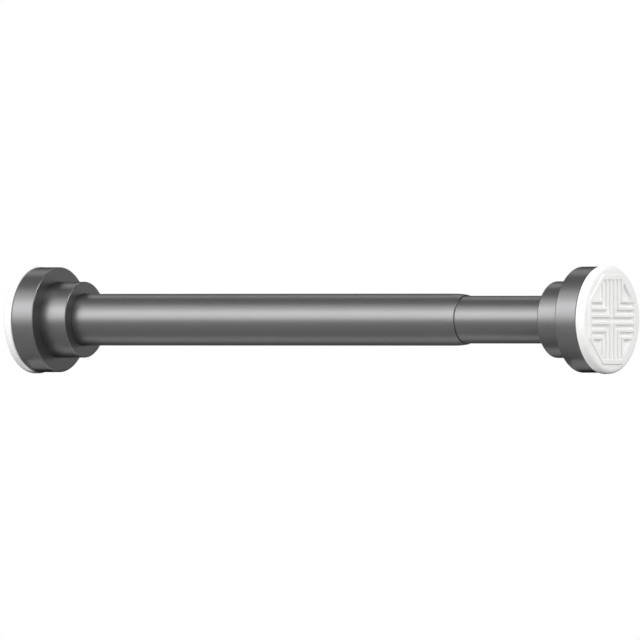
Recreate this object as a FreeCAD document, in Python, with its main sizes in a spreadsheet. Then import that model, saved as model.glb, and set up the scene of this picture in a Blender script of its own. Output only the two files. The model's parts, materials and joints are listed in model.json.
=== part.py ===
import FreeCAD, Part
import math
import os

import Sketcher
from FreeCAD import Placement, Rotation, Vector

# Spring tension rod, in millimetres.
# The rod lies along X. The origin is the middle of the left wall pad's outer face, and the
# right wall pad looks along +X. Each end's pieces are drawn inward from their own wall plane,
# and the right end is the left end turned half a turn about the vertical.
# The pieces inside the tubes are drawn from the tip of the lock spindle, which stands on the
# far side of the spring from the inner tube.

# Driving sizes: name, size, what it is
DRIVING_SIZES = (
    ("outer_tube_diameter", 32.0, "outside of the larger tube"),
    ("outer_tube_length", 302.0, "larger tube, from its plug to its mouth"),
    ("outer_tube_wall", 0.6, "steel of the larger tube"),
    ("neck_length", 8.7, "stretch over which the mouth is spun down"),
    ("tube_gap", 0.75, "gap between the larger tube's bore and the smaller tube"),
    ("inner_tube_wall", 0.6, "steel of the smaller tube"),
    ("exposed_inner_tube", 65.3, "smaller tube in sight between mouth and collar"),
    ("tube_slip", 0.1, "gap around the smaller tube in the mouth"),
    ("flange_diameter", 65.0, "large disc of the end cap"),
    ("flange_depth", 15.5, "large disc along the rod"),
    ("collar_diameter", 47.0, "small disc of the end cap"),
    ("collar_depth", 18.4, "small disc along the rod"),
    ("cap_wall", 2.2, "moulded shell of the end cap"),
    ("cap_edge", 1.0, "broken outer edges of the end cap"),
    ("socket_wall", 2.0, "sleeve that holds the tube"),
    ("socket_clearance", 0.05, "gap around the tube in its socket"),
    ("socket_floor", 3.0, "floor that the screw pulls against"),
    ("screw_recess", 4.2, "depth of the recess for the screw's head"),
    ("screw_recess_diameter", 12.0, "width of the recess for the screw's head"),
    ("web_thickness", 1.6, "stiffening webs inside the end cap"),
    ("web_setback", 0.5, "webs below the seat of the wall pad"),
    ("pad_diameter", 66.5, "wall pad's rim"),
    ("pad_depth", 6.8, "wall pad, from the end cap to the wall"),
    ("pad_edge", 3.0, "rounded outer edge of the wall pad"),
    ("plateau_across", 54.4, "raised octagon of the wall pad, across its flats"),
    ("plateau_rise", 0.8, "raised octagon above the rim"),
    ("grip_ring_width", 2.7, "border of the octagon around the grip ribs"),
    ("grip_depth", 1.6, "grooves between the grip ribs"),
    ("grip_pitch", 4.5, "from one grip rib to the next"),
    ("grip_rib_width", 1.6, "width of a grip rib"),
    ("pad_plug_depth", 2.0, "wall pad's plug inside the end cap"),
    ("pad_plug_clearance", 0.1, "gap around the wall pad's plug"),
    ("plug_flange", 1.5, "rim of the tube plug under the tube's end"),
    ("plug_depth", 14.0, "tube plug inside the tube"),
    ("plug_clearance", 0.05, "gap around the plug in the tube"),
    ("screw_diameter", 4.0, "shank of the cap screw"),
    ("screw_length", 18.0, "shank of the cap screw below its head"),
    ("screw_head_diameter", 8.0, "pan head"),
    ("screw_head_height", 2.8, "pan head"),
    ("screw_clearance", 0.15, "gap around the screw's shank"),
    ("screw_washer_diameter", 10.5, "washer under the screw's head"),
    ("screw_washer_thickness", 1.0, "washer under the screw's head"),
    ("spindle_diameter", 8.0, "threaded end of the lock spindle"),
    ("spindle_flats", 10.0, "hexagonal shank of the lock spindle, across its flats"),
    ("spindle_flange_thickness", 3.0, "collar that the spring pushes on"),
    ("lock_room", 42.0, "free space from the left tube plug to the spindle's tip"),
    ("spindle_tail", 3.0, "shank beyond the tail clip"),
    ("spindle_tip", 1.0, "thread beyond the stop clip"),
    ("clip_groove_depth", 1.0, "groove for a retaining clip"),
    ("clip_thickness", 1.0, "retaining clip"),
    ("clip_width", 2.6, "retaining clip across its ring"),
    ("clip_mouth", 4.6, "open side of a retaining clip"),
    ("clip_clearance", 0.05, "gap around a clip in its groove"),
    ("cone_travel", 3.9, "free thread between the stop clip and the cone"),
    ("cone_length", 12.0, "spreading cone"),
    ("cone_slope", 0.14, "rise of the cone for each millimetre along it"),
    ("cone_entry", 8.0, "length of cone inside the sleeve when locked"),
    ("cone_clearance", 0.08, "gap between cone and sleeve"),
    ("fin_width", 1.8, "keys of the cone in the sleeve's slots"),
    ("sleeve_length", 30.0, "split lock sleeve"),
    ("sleeve_clearance", 0.1, "gap around the sleeve in the larger tube"),
    ("sleeve_wall", 3.82, "sleeve around the small end of the cone"),
    ("sleeve_floor", 4.0, "closed end of the sleeve"),
    ("slot_width", 2.0, "slots of the sleeve"),
    ("slot_length", 24.0, "slots of the sleeve"),
    ("key_relief", 0.5, "keys of the cone below the outside of the sleeve"),
    ("thrust_washer_thickness", 1.5, "washer between sleeve and spindle"),
    ("spring_length", 49.0, "spring as fitted"),
    ("spring_wire", 2.2, "wire of the spring"),
    ("spindle_collar_gap", 3.4, "gap around the spindle's collar in the larger tube"),
    ("spring_active_turns", 7.0, "open turns of the spring"),
    ("spring_end_gap", 0.15, "gap between the closed end turns"),
    ("spring_seat_margin", 0.9, "spindle's collar beyond the outside of the spring"),
    ("seat_washer_margin", 1.5, "seat washer beyond the spindle's collar"),
    ("seat_washer_thickness", 1.0, "washer between spring and guide bush"),
    ("bush_flange_thickness", 4.0, "guide bush, rim that runs in the larger tube"),
    ("bush_depth", 20.0, "guide bush inside the smaller tube"),
    ("bush_slip", 0.2, "gap around the bush in the larger tube"),
    ("bush_clearance", 0.05, "gap around the bush in the smaller tube"),
    ("bush_bore_clearance", 0.2, "gap around the spindle's flats in the bush"),
    ("tail_washer_diameter", 20.0, "washer behind the guide bush"),
    ("tail_washer_thickness", 1.5, "washer behind the guide bush"),
    ("shaft_clearance", 0.1, "gap around the spindle in a washer"),
)
WEB_COUNT = 6
SLEEVE_SLOT_COUNT = 4
GRIP_RIBS_PER_QUARTER = 3
NECK_BANDS = 3
SPRING_FACETS = 8
SPRING_STEPS_PER_TURN = 12
SMALLEST_CUT = 0.01
# Half of an octagon's side, as a share of the distance from its middle to that side
OCTAGON_HALF_SIDE = math.tan(math.pi / 8)
# How far in from the corner the middle of a rounded edge lies, as a share of its radius
ROUND_MIDDLE = 1 - math.sqrt(0.5)

doc = FreeCAD.newDocument("SpringTensionRod")
sheet = doc.addObject("Spreadsheet::Sheet", "Sizes")
for row, (alias, value, meaning) in enumerate(DRIVING_SIZES, start=1):
    sheet.set("A%d" % row, meaning)
    sheet.set("B%d" % row, str(value))
    sheet.setAlias("B%d" % row, alias)
doc.recompute()


class Size:
    """A length as an expression of the sheet's cells, with its present value."""

    def __init__(self, text, value):
        self.text = text
        self.value = value

    def joined(self, sign, other, value):
        return Size("(%s %s %s)" % (self.text, sign, other.text), value)

    def __add__(self, other):
        other = as_size(other)
        return self.joined("+", other, self.value + other.value)

    def __sub__(self, other):
        other = as_size(other)
        return self.joined("-", other, self.value - other.value)

    def __mul__(self, other):
        other = as_size(other)
        return self.joined("*", other, self.value * other.value)

    def __truediv__(self, other):
        other = as_size(other)
        return self.joined("/", other, self.value / other.value)

    def at_most(self, other):
        return Size("min(%s; %s)" % (self.text, other.text), min(self.value, other.value))


def as_size(number):
    if isinstance(number, Size):
        return number
    return Size(str(float(number)), float(number))


def cell(alias):
    return Size("Sizes.%s" % alias, float(sheet.get(alias)))


ZERO = as_size(0)

# Places along X that several pieces share
pad_seat = cell("pad_depth") + cell("pad_plug_depth")
socket_floor_start = pad_seat + cell("screw_recess")
socket_floor_end = socket_floor_start + cell("socket_floor")
tube_end = socket_floor_end + cell("plug_flange")
cap_front = cell("pad_depth") + cell("flange_depth")
cap_reach = cap_front + cell("collar_depth")
outer_tube_mouth = tube_end + cell("outer_tube_length")
whole_length = outer_tube_mouth + cell("exposed_inner_tube") + cap_reach
spindle_tip_place = tube_end + cell("plug_depth") + cell("lock_room")

# Radii that several pieces share
outer_tube_bore = cell("outer_tube_diameter") / 2 - cell("outer_tube_wall")
inner_tube_radius = outer_tube_bore - cell("tube_gap")
inner_tube_bore = inner_tube_radius - cell("inner_tube_wall")
sleeve_radius = outer_tube_bore - cell("sleeve_clearance")
cone_small_radius = sleeve_radius - cell("sleeve_wall") - cell("cone_clearance")
spindle_collar_radius = outer_tube_bore - cell("spindle_collar_gap")
spring_radius = spindle_collar_radius - cell("spring_seat_margin") - cell("spring_wire") / 2
seat_washer_radius = spindle_collar_radius + cell("seat_washer_margin")
screw_hole = cell("screw_diameter") / 2 + cell("screw_clearance")
spindle_radius = cell("spindle_diameter") / 2
shaft_hole = spindle_radius + cell("shaft_clearance")
shank_corner = cell("spindle_flats") / math.sqrt(3)
clip_bore = spindle_radius - cell("clip_groove_depth") + cell("clip_clearance")

# Places along the lock spindle, from its tip
stop_groove = cell("spindle_tip")
groove_width = cell("clip_thickness") + cell("clip_clearance") * 2
cone_start = stop_groove + groove_width + cell("cone_travel")
cone_end = cone_start + cell("cone_length")
sleeve_start = cone_end - cell("cone_entry")
sleeve_end = sleeve_start + cell("sleeve_length")
flange_start = sleeve_end + cell("thrust_washer_thickness")
spring_start = flange_start + cell("spindle_flange_thickness")
seat_washer_start = spring_start + cell("spring_length")
bush_start = seat_washer_start + cell("seat_washer_thickness")
bush_shoulder = bush_start + cell("bush_flange_thickness")
tail_washer_start = bush_shoulder + cell("bush_depth")
tail_groove = tail_washer_start + cell("tail_washer_thickness")
spindle_end = tail_groove + groove_width + cell("spindle_tail")
inner_tube_start = spindle_tip_place + bush_shoulder

RIGHT_END = Placement(Vector(whole_length.value, 0, 0), Rotation(Vector(0, 0, 1), 180))

# How a sketch numbers its own axes and the points of its edges
HORIZONTAL_AXIS, VERTICAL_AXIS = range(-1, -3, -1)
START, END, CENTRE = range(1, 4)
SKETCH_ROOT = (HORIZONTAL_AXIS, START)


def new_body(label):
    body = doc.addObject("PartDesign::Body", label)
    body.Label = label
    return body


def place_right(piece):
    piece.Placement = RIGHT_END
    piece.setExpression("Placement.Base.x", whole_length.text)


def place_along(piece, distance):
    piece.Placement = Placement(Vector(distance.value, 0, 0), Rotation())
    piece.setExpression("Placement.Base.x", distance.text)


def origin_feature(body, role):
    return [f for f in body.Origin.OriginFeatures if f.Role == role][0]


def new_sketch(body, name, role, distance=ZERO):
    sketch = body.newObject("Sketcher::SketchObject", name)
    sketch.AttachmentSupport = [(origin_feature(body, role), "")]
    sketch.MapMode = "FlatFace"
    if distance.value:
        sketch.AttachmentOffset = Placement(Vector(0, 0, distance.value), Rotation())
        sketch.setExpression("AttachmentOffset.Base.z", distance.text)
    return sketch


def tie(sketch, geometry, point, direction, distance):
    """Hold a point of the sketch at a distance from the sketch's origin."""
    if distance.value == 0:
        axis = VERTICAL_AXIS if direction == "DistanceX" else HORIZONTAL_AXIS
        sketch.addConstraint(Sketcher.Constraint("PointOnObject", geometry, point, axis))
        return
    constraint = Sketcher.Constraint(direction, *SKETCH_ROOT, geometry, point, distance.value)
    index = sketch.addConstraint(constraint)
    sketch.setExpression("Constraints[%d]" % index, distance.text)


def closed_lines(sketch, points):
    """Draw a closed run of straight edges and return the edges' numbers."""
    lines = []
    for here, there in zip(points, points[1:] + points[:1]):
        lines.append(sketch.addGeometry(Part.LineSegment(here, there), False))
    for line, following in zip(lines, lines[1:] + lines[:1]):
        sketch.addConstraint(Sketcher.Constraint("Coincident", line, END, following, START))
    return lines


def draw_outline(sketch, corners):
    """Draw a closed outline whose corners are tied to the sheet's sizes."""
    corners = [(as_size(x), as_size(y)) for x, y in corners]
    lines = closed_lines(sketch, [Vector(x.value, y.value, 0) for x, y in corners])
    for line, (x, y) in zip(lines, corners):
        tie(sketch, line, START, "DistanceX", x)
        tie(sketch, line, START, "DistanceY", y)


def draw_circle(sketch, radius):
    circle = sketch.addGeometry(Part.Circle(Vector(0, 0, 0), Vector(0, 0, 1), radius.value), False)
    sketch.addConstraint(Sketcher.Constraint("Coincident", circle, CENTRE, *SKETCH_ROOT))
    index = sketch.addConstraint(Sketcher.Constraint("Radius", circle, radius.value))
    sketch.setExpression("Constraints[%d]" % index, radius.text)
    return circle


def draw_hexagon(sketch, across_flats):
    """Draw a hexagon with a corner on the sketch's horizontal axis."""
    corner = across_flats / math.sqrt(3)
    guide = draw_circle(sketch, corner)
    sketch.toggleConstruction(guide)
    turns = [math.radians(60 * step) for step in range(6)]
    points = [Vector(math.cos(a) * corner.value, math.sin(a) * corner.value, 0) for a in turns]
    lines = closed_lines(sketch, points)
    for line in lines:
        sketch.addConstraint(Sketcher.Constraint("PointOnObject", line, START, guide))
    for line in lines[1:]:
        sketch.addConstraint(Sketcher.Constraint("Equal", lines[0], line))
    sketch.addConstraint(Sketcher.Constraint("PointOnObject", lines[0], START, HORIZONTAL_AXIS))


def draw_octagon(sketch, across_flats):
    """Draw an octagon with a flat on each side of both of the sketch's axes."""
    far = across_flats / 2
    near = far * OCTAGON_HALF_SIDE
    draw_outline(sketch, [
        (far, ZERO - near), (far, near), (near, far), (ZERO - near, far),
        (ZERO - far, near), (ZERO - far, ZERO - near), (ZERO - near, ZERO - far), (near, ZERO - far),
    ])


def turned(body, name, corners):
    """A solid turned about the rod's axis from corners of (distance along X, radius)."""
    sketch = new_sketch(body, name + "_profile", "XY_Plane")
    draw_outline(sketch, corners)
    solid = body.newObject("PartDesign::Revolution", name)
    solid.Profile = sketch
    solid.ReferenceAxis = (sketch, ["H_Axis"])
    solid.Angle = 360
    return solid


def set_length(feature, length):
    feature.Length = length.value
    feature.setExpression("Length", length.text)


def across_axis(body, kind, name, corners, width):
    """A pad or pocket drawn in the plane through the axis, and as wide on each side of it."""
    sketch = new_sketch(body, name + "_profile", "XY_Plane")
    draw_outline(sketch, corners)
    feature = body.newObject("PartDesign::" + kind, name)
    feature.Profile = sketch
    feature.SideType = "Symmetric"
    set_length(feature, width)
    return feature


def around_axis(body, feature, count):
    """Repeat a feature evenly around the rod's axis."""
    pattern = body.newObject("PartDesign::PolarPattern", feature.Name + "_pattern")
    pattern.Originals = [feature]
    pattern.Axis = (origin_feature(body, "X_Axis"), [""])
    pattern.Angle = 360
    pattern.Occurrences = count
    body.Tip = pattern
    return pattern


def washer(label, outer_diameter, hole_radius, start, thickness):
    body = new_body(label)
    turned(body, label + "_disc", [
        (start, hole_radius),
        (start, outer_diameter / 2),
        (start + thickness, outer_diameter / 2),
        (start + thickness, hole_radius),
    ])
    return body


def retaining_clip(label, start):
    """An open ring that snaps into a groove of the spindle."""
    outer = clip_bore + cell("clip_width")
    body = washer(label, outer * 2, clip_bore, start + cell("clip_clearance"), cell("clip_thickness"))
    across_axis(body, "Pocket", label + "_mouth", [
        (start, ZERO),
        (start, outer * 2),
        (start + groove_width, outer * 2),
        (start + groove_width, ZERO),
    ], cell("clip_mouth"))
    return body


def wall_pad(label):
    """A rubber disc with a raised octagon whose ribs are nested angles around a plain cross."""
    rim = cell("pad_diameter") / 2
    across = cell("plateau_across")
    rise = cell("plateau_rise")
    edge = cell("pad_edge")
    back = cell("pad_depth")
    plug = cell("flange_diameter") / 2 - cell("cap_wall") - cell("pad_plug_clearance")
    bevel = edge * ROUND_MIDDLE
    body = new_body(label)
    turned(body, label + "_disc", [
        (rise, ZERO),
        (rise, rim - edge),
        (rise + bevel, rim - bevel),
        (rise + edge, rim),
        (back, rim),
        (back, plug),
        (pad_seat, plug),
        (pad_seat, ZERO),
    ])
    raised = new_sketch(body, label + "_octagon", "YZ_Plane")
    draw_octagon(raised, across)
    plateau = body.newObject("PartDesign::Pad", label + "_plateau")
    plateau.Profile = raised
    set_length(plateau, rise)
    field = across - cell("grip_ring_width") * 2
    sunk = new_sketch(body, label + "_field", "YZ_Plane")
    draw_octagon(sunk, field)
    recess = body.newObject("PartDesign::Pocket", label + "_recess")
    recess.Profile = sunk
    recess.Reversed = True
    set_length(recess, cell("grip_depth"))
    # The ribs end halfway through the border, on its flats or on its slanting sides
    reach = (field + cell("grip_ring_width")) / 2
    slant = reach * math.sqrt(2)
    half = cell("grip_rib_width") / 2
    angles = new_sketch(body, label + "_angles", "YZ_Plane")
    for number in range(GRIP_RIBS_PER_QUARTER):
        middle = cell("grip_pitch") * (number + 0.5)
        near = middle - half
        far = middle + half
        end = reach.at_most(slant - far)
        draw_outline(angles, [(near, near), (end, near), (end, far), (far, far), (far, end), (near, end)])
    ribs = body.newObject("PartDesign::Pad", label + "_ribs")
    ribs.Profile = angles
    set_length(ribs, cell("grip_depth"))
    around_axis(body, ribs, 4)
    return body


def end_cap(label, tube_diameter):
    """A moulded cap: a deep flange and a collar in one shell, with a socket for the tube."""
    back = cell("pad_depth")
    flange = cell("flange_diameter") / 2
    collar = cell("collar_diameter") / 2
    wall = cell("cap_wall")
    edge = cell("cap_edge")
    socket = tube_diameter / 2 + cell("socket_clearance")
    sleeve = socket + cell("socket_wall")
    recess = cell("screw_recess_diameter") / 2
    body = new_body(label)
    turned(body, label + "_shell", [
        (socket_floor_start, screw_hole),
        (socket_floor_start, recess),
        (pad_seat, recess),
        (pad_seat, sleeve),
        (cap_reach - wall, sleeve),
        (cap_reach - wall, collar - wall),
        (cap_front - wall, collar - wall),
        (cap_front - wall, flange - wall),
        (back, flange - wall),
        (back, flange),
        (cap_front - edge, flange),
        (cap_front, flange - edge),
        (cap_front, collar),
        (cap_reach - edge, collar),
        (cap_reach, collar - edge),
        (cap_reach, socket),
        (socket_floor_end, socket),
        (socket_floor_end, screw_hole),
    ])
    web_start = pad_seat + cell("web_setback")
    web_foot = sleeve - cell("socket_wall") / 2
    web = across_axis(body, "Pad", label + "_web", [
        (web_start, web_foot),
        (web_start, flange - wall / 2),
        (cap_front - wall / 2, flange - wall / 2),
        (cap_front - wall / 2, collar - wall / 2),
        (cap_reach - wall / 2, collar - wall / 2),
        (cap_reach - wall / 2, web_foot),
    ], cell("web_thickness"))
    around_axis(body, web, WEB_COUNT)
    return body


def tube_plug(label, tube_diameter, tube_bore):
    """A plastic plug in the tube's end, which the cap's screw bites into."""
    start = socket_floor_end
    end = tube_end + cell("plug_depth")
    stem = tube_bore - cell("plug_clearance")
    body = new_body(label)
    turned(body, label + "_turned", [
        (start, screw_hole),
        (start, tube_diameter / 2),
        (tube_end, tube_diameter / 2),
        (tube_end, stem),
        (end, stem),
        (end, screw_hole),
    ])
    return body


def cap_screw(label):
    """A pan-head screw whose head stands in the cap's recess."""
    seat = socket_floor_start - cell("screw_washer_thickness")
    top = seat - cell("screw_head_height")
    head = cell("screw_head_diameter") / 2
    shank = cell("screw_diameter") / 2
    crown = cell("screw_head_height") / 2
    body = new_body(label)
    turned(body, label + "_turned", [
        (top, ZERO),
        (top, head - crown),
        (top + crown, head),
        (seat, head),
        (seat, shank),
        (seat + cell("screw_length") - shank, shank),
        (seat + cell("screw_length"), ZERO),
    ])
    return body


def outer_tube():
    """The larger tube, spun down at its mouth to guide the smaller one."""
    wall = cell("outer_tube_wall")
    outside = cell("outer_tube_diameter") / 2
    mouth = inner_tube_radius + cell("tube_slip") + wall
    drop = outside - mouth
    neck = []
    for band in range(NECK_BANDS + 1):
        share = band / NECK_BANDS
        place = outer_tube_mouth - cell("neck_length") * (1 - share)
        neck.append((place, outside - drop * share ** 2))
    body = new_body("outer_tube")
    outline = [(tube_end, outside)] + neck
    outline += [(x, r - wall) for x, r in reversed(neck)]
    outline += [(tube_end, outside - wall)]
    turned(body, "outer_tube_wall_of_steel", outline)
    return body


def inner_tube():
    """The smaller tube, with its start at its inner end."""
    body = new_body("inner_tube")
    length = whole_length - tube_end - inner_tube_start
    turned(body, "inner_tube_wall_of_steel", [
        (ZERO, inner_tube_bore),
        (ZERO, inner_tube_radius),
        (length, inner_tube_radius),
        (length, inner_tube_bore),
    ])
    place_along(body, inner_tube_start)
    return body


def cone_radius(distance):
    """The cone's radius at a distance back from its small end."""
    return cone_small_radius + distance * cell("cone_slope")


def lock_cone():
    """The nut that the spindle draws into the sleeve, with keys that stop it from turning."""
    body = new_body("lock_cone")
    turned(body, "lock_cone_turned", [
        (cone_start, shaft_hole),
        (cone_start, cone_radius(cell("cone_length"))),
        (cone_end, cone_radius(ZERO)),
        (cone_end, shaft_hole),
    ])
    key_end = sleeve_radius - cell("key_relief")
    fin = across_axis(body, "Pad", "lock_cone_key", [
        (cone_start, cone_radius(ZERO) - cell("fin_width")),
        (cone_start, key_end),
        (cone_end, key_end),
        (cone_end, cone_radius(ZERO) - cell("fin_width")),
    ], cell("fin_width"))
    around_axis(body, fin, SLEEVE_SLOT_COUNT)
    return body


def lock_sleeve():
    """The split sleeve that the cone spreads against the larger tube's bore."""
    entry = cell("cone_entry")
    gap = cell("cone_clearance")
    bottom = sleeve_end - cell("sleeve_floor")
    body = new_body("lock_sleeve")
    turned(body, "lock_sleeve_turned", [
        (sleeve_start, cone_radius(entry) + gap),
        (sleeve_start, sleeve_radius),
        (sleeve_end, sleeve_radius),
        (sleeve_end, shaft_hole),
        (bottom, shaft_hole),
        (bottom, cone_radius(ZERO) + gap),
        (sleeve_start + entry, cone_radius(ZERO) + gap),
    ])
    slot = across_axis(body, "Pocket", "lock_sleeve_slot", [
        (sleeve_start, cone_radius(ZERO) - cell("slot_width")),
        (sleeve_start, sleeve_radius + cell("slot_width")),
        (sleeve_start + cell("slot_length"), sleeve_radius + cell("slot_width")),
        (sleeve_start + cell("slot_length"), cone_radius(ZERO) - cell("slot_width")),
    ], cell("slot_width"))
    around_axis(body, slot, SLEEVE_SLOT_COUNT)
    return body


def lock_spindle():
    """The spindle: a threaded end for the cone, a collar for the spring and a hexagonal shank."""
    groove = spindle_radius - cell("clip_groove_depth")
    body = new_body("lock_spindle")
    turned(body, "lock_spindle_turned", [
        (ZERO, ZERO),
        (ZERO, spindle_radius - cell("spindle_tip") / 2),
        (cell("spindle_tip") / 2, spindle_radius),
        (stop_groove, spindle_radius),
        (stop_groove, groove),
        (stop_groove + groove_width, groove),
        (stop_groove + groove_width, spindle_radius),
        (flange_start, spindle_radius),
        (flange_start, spindle_collar_radius),
        (spring_start, spindle_collar_radius),
        (spring_start, ZERO),
    ])
    flats = new_sketch(body, "lock_spindle_flats", "YZ_Plane", spring_start)
    draw_hexagon(flats, cell("spindle_flats"))
    shank = body.newObject("PartDesign::Pad", "lock_spindle_shank")
    shank.Profile = flats
    set_length(shank, spindle_end - spring_start)
    sketch = new_sketch(body, "lock_spindle_tail_profile", "XY_Plane")
    draw_outline(sketch, [
        (tail_groove, groove),
        (tail_groove, shank_corner + cell("clip_clearance")),
        (tail_groove + groove_width, shank_corner + cell("clip_clearance")),
        (tail_groove + groove_width, groove),
    ])
    cut = body.newObject("PartDesign::Groove", "lock_spindle_tail_groove")
    cut.Profile = sketch
    cut.ReferenceAxis = (sketch, ["H_Axis"])
    cut.Angle = 360
    return body


def guide_bush():
    """The bush in the smaller tube's end: it slides on the hexagonal shank and turns it."""
    rim = outer_tube_bore - cell("bush_slip")
    stem = inner_tube_bore - cell("bush_clearance")
    body = new_body("guide_bush")
    turned(body, "guide_bush_turned", [
        (bush_start, ZERO),
        (bush_start, rim),
        (bush_shoulder, rim),
        (bush_shoulder, stem),
        (tail_washer_start, stem),
        (tail_washer_start, ZERO),
    ])
    hole = new_sketch(body, "guide_bush_hole", "YZ_Plane", bush_start)
    draw_hexagon(hole, cell("spindle_flats") + cell("bush_bore_clearance") * 2)
    bore = body.newObject("PartDesign::Pocket", "guide_bush_bore")
    bore.Profile = hole
    bore.Reversed = True
    set_length(bore, tail_washer_start - bush_start)
    return body


def spring_ring(along, turn, half_width):
    """One cross-section of the spring's wire, standing square to the coil."""
    outward = Vector(0, math.cos(turn), math.sin(turn))
    points = []
    for side in range(SPRING_FACETS + 1):
        angle = 2 * math.pi * (side + 0.5) / SPRING_FACETS
        radius = spring_radius.value + half_width * math.cos(angle)
        points.append(outward * radius + Vector(along + half_width * math.sin(angle), 0, 0))
    return Part.makePolygon(points)


def compression_spring():
    """The spring, with one closed turn at each end whose first half lies flat on its seat."""
    wire = cell("spring_wire").value
    length = cell("spring_length").value
    facet = 2 * math.pi / SPRING_FACETS
    # The facets' corners stand out as far as gives the round wire's area
    corner = wire / 2 * math.sqrt(facet / math.sin(facet))
    seat = corner * math.cos(facet / 2)
    closed_rise = 2 * seat + cell("spring_end_gap").value
    active_turns = cell("spring_active_turns").value
    active_rise = (length - 2 * seat - 2 * closed_rise) / active_turns
    steps = int(round((active_turns + 2) * SPRING_STEPS_PER_TURN))
    sections = []
    for step in range(steps + 1):
        turn = step / SPRING_STEPS_PER_TURN
        from_start = min(max(turn - 0.5, 0), 0.5) * 2 * closed_rise
        from_end = min(max(active_turns + 2 - turn - 0.5, 0), 0.5) * 2 * closed_rise
        active = min(max(turn - 1, 0), active_turns) * active_rise
        along = seat + from_start + active + closed_rise - from_end
        sections.append(spring_ring(along, 2 * math.pi * turn, corner))
    spring = doc.addObject("Part::Feature", "compression_spring")
    spring.Label = "compression_spring"
    spring.Shape = Part.makeLoft(sections, True, True)
    return spring


def build():
    """Make every piece in its place and return them all."""
    pieces = []
    for side, diameter, bore in (
        ("left", cell("outer_tube_diameter"), outer_tube_bore),
        ("right", inner_tube_radius * 2, inner_tube_bore),
    ):
        washer_start = socket_floor_start - cell("screw_washer_thickness")
        end_pieces = [
            wall_pad(side + "_wall_pad"),
            end_cap(side + "_end_cap", diameter),
            cap_screw(side + "_cap_screw"),
            washer(side + "_screw_washer", cell("screw_washer_diameter"), screw_hole,
                   washer_start, cell("screw_washer_thickness")),
            tube_plug(side + "_tube_plug", diameter, bore),
        ]
        if side == "right":
            for piece in end_pieces:
                place_right(piece)
        pieces += end_pieces
    pieces += [outer_tube(), inner_tube()]

    shank_hole = shank_corner + cell("shaft_clearance")
    lock_pieces = [
        retaining_clip("cone_stop_clip", stop_groove),
        lock_cone(),
        lock_sleeve(),
        washer("thrust_washer", spindle_collar_radius * 2, shaft_hole,
               sleeve_end, cell("thrust_washer_thickness")),
        lock_spindle(),
        washer("spring_seat_washer", seat_washer_radius * 2, shank_hole,
               seat_washer_start, cell("seat_washer_thickness")),
        guide_bush(),
        washer("tail_washer", cell("tail_washer_diameter"), shank_hole,
               tail_washer_start, cell("tail_washer_thickness")),
        retaining_clip("tail_clip", tail_groove),
    ]
    for piece in lock_pieces:
        place_along(piece, spindle_tip_place)
    spring = compression_spring()
    place_along(spring, spindle_tip_place + spring_start)
    return pieces + lock_pieces + [spring]


def check(pieces):
    """Stop if anything in the document failed or a piece isn't one sound solid."""
    failed = [o.Name for o in doc.Objects if "Invalid" in o.State or "Error" in o.State]
    if failed:
        raise RuntimeError("failed: " + ", ".join(failed))
    for cut in doc.findObjects("PartDesign::Pocket") + doc.findObjects("PartDesign::Groove"):
        if cut.Shape.Volume > cut.BaseFeature.Shape.Volume - SMALLEST_CUT:
            raise RuntimeError("cuts nothing: " + cut.Name)
    for piece in pieces:
        shape = piece.Shape
        if shape.isNull() or not shape.isValid() or len(shape.Solids) != 1:
            raise RuntimeError("unsound: " + piece.Label)


pieces = build()
doc.recompute()
check(pieces)
os.makedirs("parts", exist_ok=True)
for piece in pieces:
    piece.Shape.exportStep("parts/%s.step" % piece.Label)
    box = piece.Shape.BoundBox
    print("%-20s x %8.3f to %8.3f  volume %10.2f" % (piece.Label, box.XMin, box.XMax, piece.Shape.Volume))
print("length", round(whole_length.value, 3))
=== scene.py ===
import json
import math

import bmesh
import bpy
from bpy.props import FloatProperty, FloatVectorProperty, IntProperty, PointerProperty
from mathutils import Matrix, Vector
from mathutils.geometry import tessellate_polygon

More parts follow.
